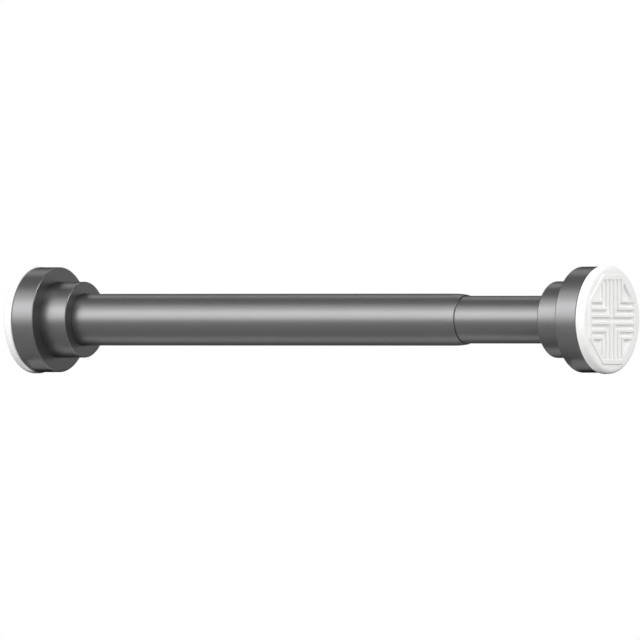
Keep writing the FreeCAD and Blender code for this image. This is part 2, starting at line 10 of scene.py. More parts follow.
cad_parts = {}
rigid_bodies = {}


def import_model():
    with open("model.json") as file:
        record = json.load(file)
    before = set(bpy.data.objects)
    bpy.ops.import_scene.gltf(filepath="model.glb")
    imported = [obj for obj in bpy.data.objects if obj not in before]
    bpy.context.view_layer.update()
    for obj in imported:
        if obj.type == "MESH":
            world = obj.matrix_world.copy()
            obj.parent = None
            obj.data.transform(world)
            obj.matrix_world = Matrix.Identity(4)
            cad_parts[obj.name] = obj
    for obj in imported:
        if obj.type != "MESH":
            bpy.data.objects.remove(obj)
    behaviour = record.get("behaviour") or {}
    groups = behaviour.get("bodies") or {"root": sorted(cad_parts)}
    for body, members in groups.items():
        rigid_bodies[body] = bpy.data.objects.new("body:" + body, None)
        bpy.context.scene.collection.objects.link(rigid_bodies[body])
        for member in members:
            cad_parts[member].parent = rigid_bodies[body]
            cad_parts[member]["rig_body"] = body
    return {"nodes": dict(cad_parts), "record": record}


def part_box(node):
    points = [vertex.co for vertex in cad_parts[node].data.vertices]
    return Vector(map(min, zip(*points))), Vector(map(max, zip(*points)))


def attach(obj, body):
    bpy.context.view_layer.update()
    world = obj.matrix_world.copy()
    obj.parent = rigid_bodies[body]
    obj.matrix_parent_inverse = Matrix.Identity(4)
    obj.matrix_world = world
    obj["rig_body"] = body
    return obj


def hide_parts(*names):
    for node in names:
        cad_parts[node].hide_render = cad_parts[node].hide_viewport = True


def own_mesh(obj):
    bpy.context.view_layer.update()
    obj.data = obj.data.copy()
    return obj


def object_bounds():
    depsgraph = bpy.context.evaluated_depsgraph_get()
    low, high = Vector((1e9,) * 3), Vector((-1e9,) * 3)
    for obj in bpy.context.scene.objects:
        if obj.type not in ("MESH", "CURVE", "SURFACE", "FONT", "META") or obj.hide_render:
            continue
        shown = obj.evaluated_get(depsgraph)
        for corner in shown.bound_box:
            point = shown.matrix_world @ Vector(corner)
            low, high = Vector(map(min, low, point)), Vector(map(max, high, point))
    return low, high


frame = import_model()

bl_info = {
    "name": "Spring tension rod",
    "version": (1, 0, 0),
    "blender": (4, 5, 0),
    "location": "View3D > Sidebar > Tension rod",
    "description": "Dresses a telescopic spring tension rod and sets up its studio",
    "category": "Add Mesh",
}

CAD_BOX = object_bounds()
MM = 0.001
QUARTER_TURN = math.pi / 2
FULL_TURN = 2 * math.pi
# Half a side of an octagon that is two across its flats
OCTAGON_HALF_SIDE = math.tan(math.pi / 8)
# The turned pieces' edges: fine enough that their outlines stay round in a close view
SEGMENTS = 192
ROUND_STEPS = 6
# Points closer than this are one point, in metres
WELD = 1e-6
SHARP_ANGLE = math.radians(40)
# Where a thread's root ends and its crest starts, from the root's middle as shares of the lead
ROOT_EDGE = 1 / 6
CREST_EDGE = 1 / 3
# How strongly the grey coats reflect at a grazing angle: a matte coat stays dim there
EDGE_TINT = (0.38, 0.38, 0.38, 1.0)
# The width of the camera's film, in millimetres
SENSOR_WIDTH = 36.0


def ramp(value, start, end):
    """How far a value has come from a start to an end: none, all, or a share between."""
    return min(max((value - start) / (end - start), 0.0), 1.0)


def linear(hex_colour):
    """The linear colour of an sRGB hex value."""
    channels = [int(hex_colour[start:start + 2], 16) / 255 for start in (1, 3, 5)]
    return tuple(c / 12.92 if c <= 0.04045 else ((c + 0.055) / 1.055) ** 2.4 for c in channels)


def extent(node):
    """A frame node's two ends along the rod and its radius."""
    low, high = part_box(node)
    return low.x, high.x, max(high.y, high.z, -low.y, -low.z)


def length(name, description, default, least, digits=4):
    """A length for the panel, in metres."""
    return FloatProperty(
        name=name, description=description, default=default, min=least,
        unit="LENGTH", precision=digits)


def power(name, description, default):
    """A light's power for the panel, in watts."""
    return FloatProperty(
        name=name, description=description, default=default, min=0.0, unit="POWER")


class RodSizes(bpy.types.PropertyGroup):
    """Sizes that the frame's boxes don't give, in metres."""

    collar_diameter: length("Collar", "Small disc of the end cap", 0.047, 0.03)
    collar_depth: length("Collar depth", "Small disc along the rod", 0.0184, 0.002)
    cap_wall: length("Cap wall", "Moulded shell of the end cap", 0.0022, 0.0005)
    cap_round: length("Cap edge", "Rounding of the end cap's front edges", 0.0008, 0.0)
    back_round: length(
        "Cap back edge", "Rounding of the end cap's edge beside the wall pad", 0.0010, 0.0)
    moulded_round: length(
        "Moulded edge", "Small rounding that every moulded edge has", 0.0003, 0.0)
    socket_gap: length("Socket gap", "Gap around the tube in the end cap", 0.00005, 0.0, digits=5)
    socket_wall: length("Socket wall", "Sleeve in the end cap that holds the tube", 0.002, 0.0005)
    socket_floor: length(
        "Socket floor", "Floor that the cap's screw pulls against", 0.003, 0.0005)
    screw_recess: length(
        "Screw recess", "Depth of the recess for the screw's head", 0.0042, 0.001)
    screw_recess_diameter: length(
        "Screw recess width", "Width of the recess for the screw's head", 0.012, 0.008)
    screw_hole_diameter: length("Screw hole", "Hole in the socket's floor", 0.0043, 0.002)
    web_thickness: length("Web", "Stiffening webs inside the end cap", 0.0016, 0.0005)
    web_setback: length("Web setback", "Webs below the seat of the wall pad", 0.0005, 0.0)
    web_count: IntProperty(
        name="Webs", description="Stiffening webs in each end cap", default=6, min=3)
    tube_wall: length("Tube wall", "Steel of both tubes", 0.0006, 0.0003)
    tube_slip: length(
        "Mouth gap", "Gap around the smaller tube in the larger tube's mouth", 0.0001, 0.0, digits=5)
    neck_length: length("Neck", "Stretch over which the mouth is spun down", 0.0087, 0.001)
    mouth_round: length(
        "Mouth bead", "Rounding of the mouth's outer edge", 0.00035, 0.0, digits=5)
    pad_rim_depth: length("Pad depth", "Wall pad, from the end cap to the wall", 0.0068, 0.003)
    pad_round: length("Pad edge", "Rounding of the wall pad's outer edge", 0.003, 0.0005)
    pad_back_round: length(
        "Pad back edge", "Rounding of the wall pad's edge beside the end cap", 0.0008, 0.0)
    pad_plug_gap: length(
        "Pad plug gap", "Gap around the wall pad's plug in the end cap", 0.0001, 0.0, digits=5)
    plateau_across: length(
        "Plateau", "Raised octagon of the wall pad, across its flats", 0.0544, 0.02)
    plateau_rise: length("Plateau rise", "Raised octagon above the pad's rim", 0.0008, 0.0002)
    plateau_foot: length(
        "Plateau foot", "Soft fillet around the raised octagon's foot", 0.0004, 0.0)
    plateau_corner: length("Plateau corners", "Rounding of the octagon's corners", 0.0010, 0.0)
    grip_ring: length("Grip ring", "Flat ring around the grip ribs", 0.0027, 0.001)
    grip_depth: length("Grip depth", "Grooves between the grip ribs", 0.0016, 0.0005)
    grip_pitch: length("Grip pitch", "From one grip rib to the next", 0.0045, 0.002)
    grip_rib: length("Grip rib", "Width of a grip rib", 0.0016, 0.0005)
    grip_ribs: IntProperty(
        name="Grip ribs", description="Grip ribs in each quarter of the pad", default=3, min=2)
    grip_corner: length("Groove corners", "Rounding of the grooves' corners", 0.0004, 0.0)
    spring_wire: length("Spring wire", "Wire of the spring", 0.0022, 0.0005)
    spring_radius: length(
        "Spring radius", "Spring's axis to the middle of its wire", 0.010, 0.003)
    spring_turns: FloatProperty(
        name="Open turns", description="Open turns of the spring", default=7.0, min=2.0)
    spring_end_gap: length(
        "End gap", "Gap between the spring's closed end turns", 0.00015, 0.0, digits=5)
    spindle_diameter: length("Spindle", "Threaded end of the lock spindle", 0.008, 0.004)
    spindle_flats: length(
        "Spindle flats", "Hexagonal shank of the spindle, across its flats", 0.010, 0.004)
    spindle_pitch: length("Spindle thread", "Lead of the spindle's thread", 0.003, 0.001)
    spindle_thread_depth: length("Thread depth", "Depth of the spindle's thread", 0.0007, 0.0)
    clip_groove: length("Clip groove", "Depth of the grooves for the retaining clips", 0.001, 0.0)
    clip_slack: length(
        "Clip slack", "Gap beside a retaining clip in its groove", 0.00005, 0.0, digits=5)
    screw_diameter: length("Screw", "Outside of the cap screw's thread", 0.004, 0.002)
    screw_pitch: length("Screw thread", "Lead of the cap screw's thread", 0.0016, 0.0005)
    screw_head_height: length("Screw head", "Height of the cap screw's pan head", 0.0028, 0.001)


class RodColours(bpy.types.PropertyGroup):
    """Colours of the finishes."""

    tube: FloatVectorProperty(
        name="Tube paint", description="Satin paint of both tubes",
        subtype="COLOR", min=0.0, max=1.0, default=linear("#7c7c7d"))
    cap: FloatVectorProperty(
        name="Cap paint", description="Satin paint of the moulded end caps",
        subtype="COLOR", min=0.0, max=1.0, default=linear("#7c7c7d"))
    pad: FloatVectorProperty(
        name="Silicone", description="White silicone of the wall pads",
        subtype="COLOR", min=0.0, max=1.0, default=linear("#f0f0ef"))
    plug: FloatVectorProperty(
        name="Plug plastic", description="Polypropylene of the tube plugs",
        subtype="COLOR", min=0.0, max=1.0, default=linear("#e2e1dc"))
    lock: FloatVectorProperty(
        name="Lock plastic", description="Acetal of the sliding lock",
        subtype="COLOR", min=0.0, max=1.0, default=linear("#d9d8cf"))
    zinc: FloatVectorProperty(
        name="Zinc plate", description="Bright zinc of the fasteners",
        subtype="COLOR", min=0.0, max=1.0, default=linear("#c4c9d0"))
    spring: FloatVectorProperty(
        name="Spring wire", description="Oil-dark drawn wire of the spring",
        subtype="COLOR", min=0.0, max=1.0, default=linear("#85878b"))
    floor: FloatVectorProperty(
        name="Floor", description="Matte paper of the studio floor",
        subtype="COLOR", min=0.0, max=1.0, default=linear("#b5b5b4"))


class StudioSettings(bpy.types.PropertyGroup):
    """The camera's framing and the studio's light."""

    azimuth: FloatProperty(
        name="Azimuth", description="Camera's turn from square on towards the right end",
        default=math.radians(32.5), unit="ROTATION")
    frame_width: length("Frame", "Width of what the camera sees at the rod", 0.3940, 0.05)
    lens: FloatProperty(
        name="Lens", description="Very long lens, in millimetres, for a nearly parallel view",
        default=1600.0, min=50.0, unit="CAMERA")
    aim_along: FloatProperty(
        name="Aim along", description="Place on the rod's axis at the middle of the frame",
        default=0.2128, unit="LENGTH", precision=4)
    aim_height: FloatProperty(
        name="Aim height", description="Height of the middle of the frame above the axis",
        default=-0.0002, unit="LENGTH", precision=4)
    camera_clearance: length(
        "Camera clearance", "Camera above the floor, which it sees edge on", 0.00002, 0.0, digits=5)
    roll: FloatProperty(
        name="Roll", description="Levels the rod's axis in the picture",
        default=0.0011, unit="ROTATION", precision=4)
    floor_size: FloatProperty(
        name="Floor", description="Side of the square floor, inside the ring of softboxes",
        default=4.6, min=1.0, unit="LENGTH")
    softbox_distance: FloatProperty(
        name="Softbox distance", description="From the rod's axis to each long softbox",
        default=2.4, min=0.3, unit="LENGTH")
    softbox_length: FloatProperty(
        name="Softbox length", description="Long side of each softbox, along the rod",
        default=3.6, min=0.5, unit="LENGTH")
    low_power: power("Low light", "Long softbox in front, just above the floor", 24.0)
    key_power: power("Key light", "Long softbox in front, above the low one", 41.0)
    high_power: power("High light", "Long softbox in front, high up", 18.0)
    overhead_power: power("Overhead light", "Wide dim softbox above the rod", 5.5)
    back_power: power("Back light", "Long softbox behind and above", 22.0)
    rear_power: power("Rear light", "Low softbox behind the rod, towards its right end", 8.0)
    under_power: FloatProperty(
        name="Under lights", description="Dim strips on the floor, in watts per square metre",
        default=1.75, min=0.0)
    end_power: power("End light", "Softbox beyond the right end, for the wall pad", 46.0)
    side_power: power(
        "Side light", "Large softbox in front of the right end, for the edges", 28.0)
    room_light: FloatProperty(
        name="Room", description="Dim light that the white room gives off", default=0.02, min=0.0)


def sizes():
    """The sizes that the panel shows."""
    return bpy.context.scene.rod_sizes


def colours():
    """The colours that the panel shows."""
    return bpy.context.scene.rod_colours


def add_node(tree, kind, settings=None, links=None):
    """Add a node, set its options and sockets, and link its inputs."""
    node = tree.nodes.new(kind)
    for key, value in (settings or {}).items():
        if isinstance(key, int) or key in node.inputs:
            node.inputs[key].default_value = value
        else:
            setattr(node, key, value)
    for key, socket in (links or {}).items():
        tree.links.new(socket, node.inputs[key])
    return node


def new_finish(name, colour, settings):
    """A material with one principled shader, and the coordinates its patterns are drawn in."""
    finish = bpy.data.materials.new(name)
    finish.use_nodes = True
    finish.diffuse_color = (*colour, 1.0)
    tree = finish.node_tree
    tree.nodes.clear()
    shader = add_node(tree, "ShaderNodeBsdfPrincipled", settings)
    shader.inputs["Base Color"].default_value = (*colour, 1.0)
    add_node(tree, "ShaderNodeOutputMaterial", links={"Surface": shader.outputs["BSDF"]})
    place = add_node(tree, "ShaderNodeTexCoord").outputs["Object"]
    return finish, tree, shader, place


def noise(tree, place, spacing, detail=2.0, stretch=(1.0, 1.0, 1.0)):
    """Noise whose lumps are a spacing apart, longer along an axis whose stretch is above one."""
    scaled = add_node(tree, "ShaderNodeMapping", {
        "vector_type": "POINT",
        "Scale": tuple(1.0 / (spacing * longer) for longer in stretch),
    }, {"Vector": place})
    return add_node(tree, "ShaderNodeTexNoise", {
        "Scale": 1.0,
        "Detail": detail,
    }, {"Vector": scaled.outputs["Vector"]}).outputs["Fac"]


def relief(tree, shader, height, depth, under=None):
    """Bumps of a real depth on the shader's surface, over those that lie under them."""
    links = {"Height": height}
    if under:
        links["Normal"] = under
    bump = add_node(tree, "ShaderNodeBump", {"Strength": 1.0, "Distance": depth}, links)
    tree.links.new(bump.outputs["Normal"], shader.inputs["Normal"])
    return bump.outputs["Normal"]


def vary_roughness(tree, shader, pattern, low, high):
    """Let the roughness follow a pattern between two values."""
    spread = add_node(tree, "ShaderNodeMapRange", {
        "To Min": low,
        "To Max": high,
    }, {"Value": pattern})
    tree.links.new(spread.outputs["Result"], shader.inputs["Roughness"])


def vary_colour(tree, shader, pattern, colour, change):
    """Let the colour drift by a share of itself with a pattern."""
    darker = tuple(c * (1 - change) for c in colour)
    lighter = tuple(min(c * (1 + change), 1.0) for c in colour)
    mix = add_node(tree, "ShaderNodeMix", {
        "data_type": "RGBA",
        6: (*darker, 1.0),
        7: (*lighter, 1.0),
    }, {0: pattern})
    tree.links.new(mix.outputs[2], shader.inputs["Base Color"])


def satin_powder_coated_steel():
    """Thin steel tube under a dark grey satin powder coat: a soft broad sheen with a trace of
    the coat's orange peel and of the drawn steel's lengthwise lines. The lines are drawn 0.8 mm
    apart, several times as coarse as they are, so that they show."""
    colour = tuple(colours().tube)
    finish, tree, shader, place = new_finish("satin_powder_coated_steel", colour, {
        "Metallic": 0.92,
        "IOR": 1.5,
        "Specular Tint": EDGE_TINT,
    })
    vary_colour(tree, shader, noise(tree, place, 30 * MM), colour, 0.03)
    vary_roughness(tree, shader, noise(tree, place, 6 * MM, 4.0), 0.34, 0.38)
    drawn = relief(tree, shader, noise(tree, place, 0.8 * MM, 2.0, (60.0, 1.0, 1.0)), 0.002 * MM)
    relief(tree, shader, noise(tree, place, 1.5 * MM, 3.0), 0.004 * MM, drawn)
    return finish


def satin_painted_abs():
    """Moulded ABS under the same grey satin paint, with the even grain of a spark-eroded mould.
    The grain is drawn 0.5 mm across, several times as coarse as it is, so that it shows."""
    colour = tuple(colours().cap)
    finish, tree, shader, place = new_finish("satin_painted_abs", colour, {
        "Metallic": 0.95,
        "IOR": 1.5,
        "Specular Tint": EDGE_TINT,
    })
    vary_colour(tree, shader, noise(tree, place, 20 * MM), colour, 0.03)
    vary_roughness(tree, shader, noise(tree, place, 5 * MM, 4.0), 0.33, 0.37)
    relief(tree, shader, noise(tree, place, 0.5 * MM, 3.0), 0.004 * MM)
    return finish


def white_moulded_silicone():
    """Soft white moulded silicone: matte, faintly cloudy, with light that goes a little way in.
    The mould's grain is drawn 0.6 mm across, coarser than it is, so that it shows."""
    colour = tuple(colours().pad)
    finish, tree, shader, place = new_finish("white_moulded_silicone", colour, {
        "IOR": 1.41,
        "Subsurface Weight": 0.15,
        "Subsurface Radius": (1.0, 0.95, 0.9),
        "Subsurface Scale": 1.0 * MM,
    })
    vary_colour(tree, shader, noise(tree, place, 15 * MM), colour, 0.012)
    vary_roughness(tree, shader, noise(tree, place, 4 * MM, 3.0), 0.55, 0.65)
    relief(tree, shader, noise(tree, place, 0.6 * MM, 3.0), 0.006 * MM)
    return finish


def moulded_polypropylene():
    """Natural polypropylene: milky, waxy and a little uneven where it cooled."""
    colour = tuple(colours().plug)
    finish, tree, shader, place = new_finish("moulded_polypropylene", colour, {
        "IOR": 1.49,
        "Subsurface Weight": 0.1,
        "Subsurface Radius": (1.0, 1.0, 0.9),
        "Subsurface Scale": 1.0 * MM,
    })
    vary_colour(tree, shader, noise(tree, place, 8 * MM), colour, 0.03)
    vary_roughness(tree, shader, noise(tree, place, 3 * MM, 3.0), 0.42, 0.54)
    relief(tree, shader, noise(tree, place, 1.2 * MM, 2.0), 0.01 * MM)
    return finish


def moulded_acetal():
    """Ivory acetal: smooth and slippery, with a low gloss and faint flow marks."""
    colour = tuple(colours().lock)
    finish, tree, shader, place = new_finish("moulded_acetal", colour, {"IOR": 1.48})
    vary_colour(tree, shader, noise(tree, place, 10 * MM, 2.0, (4.0, 1.0, 1.0)), colour, 0.03)
    vary_roughness(tree, shader, noise(tree, place, 2 * MM, 3.0), 0.30, 0.40)
    relief(tree, shader, noise(tree, place, 1 * MM, 2.0), 0.006 * MM)
    return finish


def zinc_plated_turned_steel():
    """Bright zinc on turned steel: cool, with the rings that the lathe left every 0.25 mm."""
    colour = tuple(colours().zinc)
    finish, tree, shader, place = new_finish("zinc_plated_turned_steel", colour, {"Metallic": 1.0})
    vary_colour(tree, shader, noise(tree, place, 4 * MM), colour, 0.05)
    vary_roughness(tree, shader, noise(tree, place, 1.5 * MM, 4.0), 0.24, 0.38)
    relief(tree, shader, noise(tree, place, 0.25 * MM, 1.0, (1.0, 200.0, 200.0)), 0.004 * MM)
    return finish


def drawn_spring_steel():
    """Oil-tempered spring wire: dark grey, with a dull blotchy shine."""
    colour = tuple(colours().spring)
    finish, tree, shader, place = new_finish("drawn_spring_steel", colour, {"Metallic": 1.0})
    vary_colour(tree, shader, noise(tree, place, 3 * MM), colour, 0.10)
    vary_roughness(tree, shader, noise(tree, place, 1 * MM, 4.0), 0.30, 0.45)
    relief(tree, shader, noise(tree, place, 0.3 * MM, 2.0), 0.005 * MM)
    return finish


def matte_studio_paper():
    """Pale seamless paper: flat and faintly fibrous."""
    colour = tuple(colours().floor)
    finish, tree, shader, place = new_finish("matte_studio_paper", colour, {"IOR": 1.45})
    vary_colour(tree, shader, noise(tree, place, 400 * MM), colour, 0.01)
    vary_roughness(tree, shader, noise(tree, place, 20 * MM, 3.0), 0.88, 0.96)
    relief(tree, shader, noise(tree, place, 1 * MM, 3.0), 0.02 * MM)
    return finish


# Which finish each of the record's slots has
SLOT_FINISHES = {
    "tube_finish": satin_powder_coated_steel,
    "end_cap_plastic": satin_painted_abs,
    "wall_pad_rubber": white_moulded_silicone,
    "plug_plastic": moulded_polypropylene,
    "lock_plastic": moulded_acetal,
    "zinc_plated_steel": zinc_plated_turned_steel,
    "spring_steel": drawn_spring_steel,
}


def finish_for(slot):
    """The slot's finish, made once."""
    make = SLOT_FINISHES[slot]
    return bpy.data.materials.get(make.__name__) or make()


def rounded(corners):
    """An outline of (x, radius, rounding) corners as points, with an arc at each rounded one."""
    points = []
    for index, (x, radius, rounding) in enumerate(corners):
        corner = Vector((x, radius))
        if not rounding:
            points.append(corner)
            continue
        following = corners[(index + 1) % len(corners)]
        before = (Vector(corners[index - 1][:2]) - corner).normalized()
        after = (Vector(following[:2]) - corner).normalized()
        half = before.angle(after) / 2
        centre = corner + (before + after).normalized() * (rounding / math.sin(half))
        setback = rounding / math.tan(half)
        start = corner + before * setback - centre
        end = corner + after * setback - centre
        sweep = start.angle_signed(end)
        for step in range(ROUND_STEPS + 1):
            turned = start.copy()
            turned.rotate(Matrix.Rotation(-sweep * step / ROUND_STEPS, 2))
            points.append(centre + turned)
    return points


def turn(mesh, outline, closed=True, segments=SEGMENTS):
    """Turn an outline of (x, radius) about the rod's axis. A radius may depend on the angle."""
    rings = []
    for x, radius in outline:
        if not callable(radius) and radius < WELD:
            rings.append([mesh.verts.new((x, 0.0, 0.0))] * segments)
            continue
        ring = []
        for number in range(segments):
            angle = FULL_TURN * number / segments
            reach = radius(angle) if callable(radius) else radius
            ring.append(mesh.verts.new((x, reach * math.cos(angle), reach * math.sin(angle))))
        rings.append(ring)
    following = rings[1:] + rings[:1] if closed else rings[1:]
    for here, there in zip(rings, following):
        for number in range(segments):
            beside = (number + 1) % segments
            corners = (here[number], here[beside], there[beside], there[number])
            mesh.faces.new(dict.fromkeys(corners))


def half_turned(mesh):
    """Turn a left end's mesh about the vertical, to the right end."""
    length = CAD_BOX[0].x + CAD_BOX[1].x
    place = Matrix.Translation((length, 0.0, 0.0)) @ Matrix.Rotation(math.pi, 4, "Z")
    bmesh.ops.transform(mesh, matrix=place, verts=mesh.verts)


def add_piece(name, mesh, slot, node):
    """Make the piece that stands for a frame node, on that node's body."""
    bmesh.ops.remove_doubles(mesh, verts=mesh.verts, dist=WELD)
    bmesh.ops.recalc_face_normals(mesh, faces=mesh.faces)
    data = bpy.data.meshes.new(name)
    mesh.to_mesh(data)
    mesh.free()
    data.shade_smooth()
    data.set_sharp_from_angle(angle=SHARP_ANGLE)
    data.materials.append(finish_for(slot))
    piece = bpy.data.objects.new(name, data)
    bpy.context.scene.collection.objects.link(piece)
    shading = piece.modifiers.new("Even shading", "WEIGHTED_NORMAL")
    shading.keep_sharp = True
    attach(piece, frame["nodes"][node]["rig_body"])
    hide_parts(node)
    return piece


def add_pair(name, left, right, slot, node):
    """Make a piece of the left end and its like at the right end, from two left meshes."""
    half_turned(right)
    for side, mesh in (("left_", left), ("right_", right)):
        add_piece(side + name, mesh, slot, side + node)


def add_web(mesh, outline, thickness, angle):
    """A flat web of (x, radius) corners, standing on the axis and turned about it."""
    turned = Matrix.Rotation(angle, 3, "X")
    sides = []
    for offset in (-thickness / 2, thickness / 2):
        corners = [turned @ Vector((x, radius, offset)) for x, radius in outline]
        sides.append([mesh.verts.new(corner) for corner in corners])
    mesh.faces.new(sides[0])
    mesh.faces.new(reversed(sides[1]))
    for number in range(len(outline)):
        beside = (number + 1) % len(outline)
        mesh.faces.new((sides[0][number], sides[0][beside], sides[1][beside], sides[1][number]))


def cap_mesh(tube):
    """The left end cap: a flange and a collar in one moulded shell around a tube's socket."""
    size = sizes()
    back, reach, flange = extent("left_end_cap")
    seat = extent("left_wall_pad")[1]
    front = reach - size.collar_depth
    collar = size.collar_diameter / 2
    wall = size.cap_wall
    fine = size.moulded_round
    socket = extent(tube)[2] + size.socket_gap
    sleeve = socket + size.socket_wall
    recess = size.screw_recess_diameter / 2
    hole = size.screw_hole_diameter / 2
    floor_start = seat + size.screw_recess
    floor_end = floor_start + size.socket_floor
    mesh = bmesh.new()
    turn(mesh, rounded([
        (floor_start, hole, 0),
        (floor_start, recess, fine),
        (seat, recess, fine),
        (seat, sleeve, fine),
        (reach - wall, sleeve, fine),
        (reach - wall, collar - wall, fine),
        (front - wall, collar - wall, fine),
        (front - wall, flange - wall, fine),
        (back, flange - wall, fine),
        (back, flange, size.back_round),
        (front, flange, size.cap_round),
        (front, collar, 0),
        (reach, collar, size.cap_round),
        (reach, socket, fine),
        (floor_end, socket, fine),
        (floor_end, hole, 0),
    ]))
    # The webs end in the middle of the shell's and the sleeve's walls
    half_wall = wall / 2
    web_start = seat + size.web_setback
    web_foot = sleeve - size.socket_wall / 2
    web = [
        (web_start, web_foot),
        (web_start, flange - half_wall),
        (front - half_wall, flange - half_wall),
        (front - half_wall, collar - half_wall),
        (reach - half_wall, collar - half_wall),
        (reach - half_wall, web_foot),
    ]
    for number in range(size.web_count):
        add_web(mesh, web, size.web_thickness, FULL_TURN * number / size.web_count)
    return mesh


def quarter_turned(outline, quarters):
    """An outline of (y, z) points, turned about the rod's axis by quarter turns."""
    c = round(math.cos(quarters * QUARTER_TURN))
    s = round(math.sin(quarters * QUARTER_TURN))
    return [(y * c - z * s, y * s + z * c) for y, z in outline]


def octagon(reach):
    """An octagon whose flats lie at a distance from the axis, one of them on top."""
    corner = reach * OCTAGON_HALF_SIDE
    return sum((quarter_turned([(reach, corner), (corner, reach)], quarter) for quarter in range(4)), [])


def cross_outline(half, field):
    """The plain cross between the four quarters of ribs."""
    arm = [(field, -half), (field, half), (half, half)]
    return sum((quarter_turned(arm, quarter) for quarter in range(4)), [])


def angle_outline(near, far, field):
    """A groove between two nested angles of the first quarter, ended by the octagon."""
    corner = field * OCTAGON_HALF_SIDE
    heights = [near, corner, far] if near < corner < far else [near, far]
    slant = field * math.sqrt(2)
    end = [(min(field, slant - height), height) for height in heights]
    return [(near, near), *end, (far, far), *[(z, y) for y, z in reversed(end)]]


def pocket_outline(near, field):
    """What is left of the octagon beyond the last rib of the first quarter."""
    reach = field * math.sqrt(2) - near
    return [(near, near), (reach, near), (near, reach)]


def groove_outlines():
    """Every groove's outline on the pad's face."""
    size = sizes()
    half_rib = size.grip_rib / 2
    field = size.plateau_across / 2 - size.grip_ring
    ribs = [size.grip_pitch * (number + 0.5) for number in range(size.grip_ribs)]
    quarter = []
    for rib, following in zip(ribs, ribs[1:]):
        quarter.append(angle_outline(rib + half_rib, following - half_rib, field))
    quarter.append(pocket_outline(ribs[-1] + half_rib, field))
    outlines = [cross_outline(ribs[0] - half_rib, field)]
    for number in range(4):
        outlines += [quarter_turned(outline, number) for outline in quarter]
    return outlines


def widened(outline, distance):
    """An anticlockwise outline with every side moved outward by a distance."""
    moved = []
    for index, corner in enumerate(outline):
        before = (corner - outline[index - 1]).normalized()
        after = (outline[(index + 1) % len(outline)] - corner).normalized()
        outward = Vector((before.y + after.y, -before.x - after.x))
        moved.append(corner + outward * distance / (1 + before.dot(after)))
    return moved


def wall_levels(start, end, start_round, end_round):
    """How far a wall between two flats stands out at each level: a fillet, then a rounded edge."""
    way = math.copysign(1.0, end - start)
    turns = [QUARTER_TURN * step / ROUND_STEPS for step in range(ROUND_STEPS + 1)]
    levels = []
    for turned in turns:
        rise = start_round * (1 - math.cos(turned))
        levels.append((start + way * rise, start_round * (1 - math.sin(turned))))
    for turned in turns:
        rise = end_round * (1 - math.sin(turned))
        levels.append((end - way * rise, -end_round * (1 - math.cos(turned))))
    return levels


def add_wall(mesh, outline, corner_round, levels):
    """A wall along an outline of (y, z) corners; gives its first and last loops of vertices."""
    soft = rounded([(y, z, corner_round) for y, z in outline])
    loops = []
    for x, out in levels:
        loops.append([mesh.verts.new((x, y, z)) for y, z in widened(soft, out)])
    for here, there in zip(loops, loops[1:]):
        bridge(mesh, here, there)
    return loops[0], loops[-1]


def bridge(mesh, first, second):
    """Faces between two loops that have as many vertices."""
    for number in range(len(first)):
        beside = (number + 1) % len(first)
        mesh.faces.new((first[number], first[beside], second[beside], second[number]))


def fill(mesh, loops):
    """Fill a flat face that has an outer loop and any number of holes."""
    vertices = [vertex for loop in loops for vertex in loop]
    for corners in tessellate_polygon([[vertex.co for vertex in loop] for loop in loops]):
        mesh.faces.new([vertices[corner] for corner in corners])


def pad_mesh():
    """The left wall pad: a silicone disc with a raised octagon, grooved around its ribs."""
    size = sizes()
    wall_plane, seat, rim = extent("left_wall_pad")
    rise = wall_plane + size.plateau_rise
    fine = size.moulded_round
    back = wall_plane + size.pad_rim_depth
    plug = extent("left_end_cap")[2] - size.cap_wall - size.pad_plug_gap
    mesh = bmesh.new()
    profile = rounded([
        (rise, 0.0, 0),
        (rise, rim, size.pad_round),
        (back, rim, size.pad_back_round),
        (back, plug, fine),
        (seat, plug, fine),
        (seat, 0.0, 0),
    ])
    turn(mesh, profile[1:], closed=False)
    mesh.verts.ensure_lookup_table()
    rim_edge = mesh.verts[:SEGMENTS]
    foot, crest = add_wall(mesh, octagon(size.plateau_across / 2), size.plateau_corner,
                           wall_levels(rise, wall_plane, size.plateau_foot, fine))
    fill(mesh, [rim_edge, foot])
    groove_wall = wall_levels(wall_plane, wall_plane + size.grip_depth, fine, fine)
    grooves = [add_wall(mesh, outline, size.grip_corner, groove_wall) for outline in groove_outlines()]
    fill(mesh, [crest] + [edge for edge, floor in grooves])
    for edge, floor in grooves:
        fill(mesh, [floor])
    return mesh


def outer_tube_mesh():
    """The larger tube: its mouth is spun down in a soft curve and its edge is rolled."""
    size = sizes()
    start, mouth, outside = extent("outer_tube")
    wall = size.tube_wall
    lip = extent("inner_tube")[2] + size.tube_slip + wall
    neck = []
    neck_steps = 2 * ROUND_STEPS
    for step in range(neck_steps):
        share = step / neck_steps
        x = mouth - size.neck_length * (1 - share)
        neck.append((x, outside - (outside - lip) * share ** 2, 0))
    mesh = bmesh.new()
    turn(mesh, rounded([
        (start, outside - wall, 0),
        (start, outside, 0),
        *neck,
        (mouth, lip, size.mouth_round),
        (mouth, lip - wall, wall / 4),
        *[(x, radius - wall, 0) for x, radius, rounding in reversed(neck)],
    ]))
    return mesh


def inner_tube_mesh():
    """The smaller tube, with both ends cut square and lightly deburred."""
    start, end, outside = extent("inner_tube")
    wall = sizes().tube_wall
    deburr = wall / 5
    mesh = bmesh.new()
    turn(mesh, rounded([
        (start, outside - wall, deburr),
        (start, outside, deburr),
        (end, outside, deburr),
        (end, outside - wall, deburr),
    ]))
    return mesh


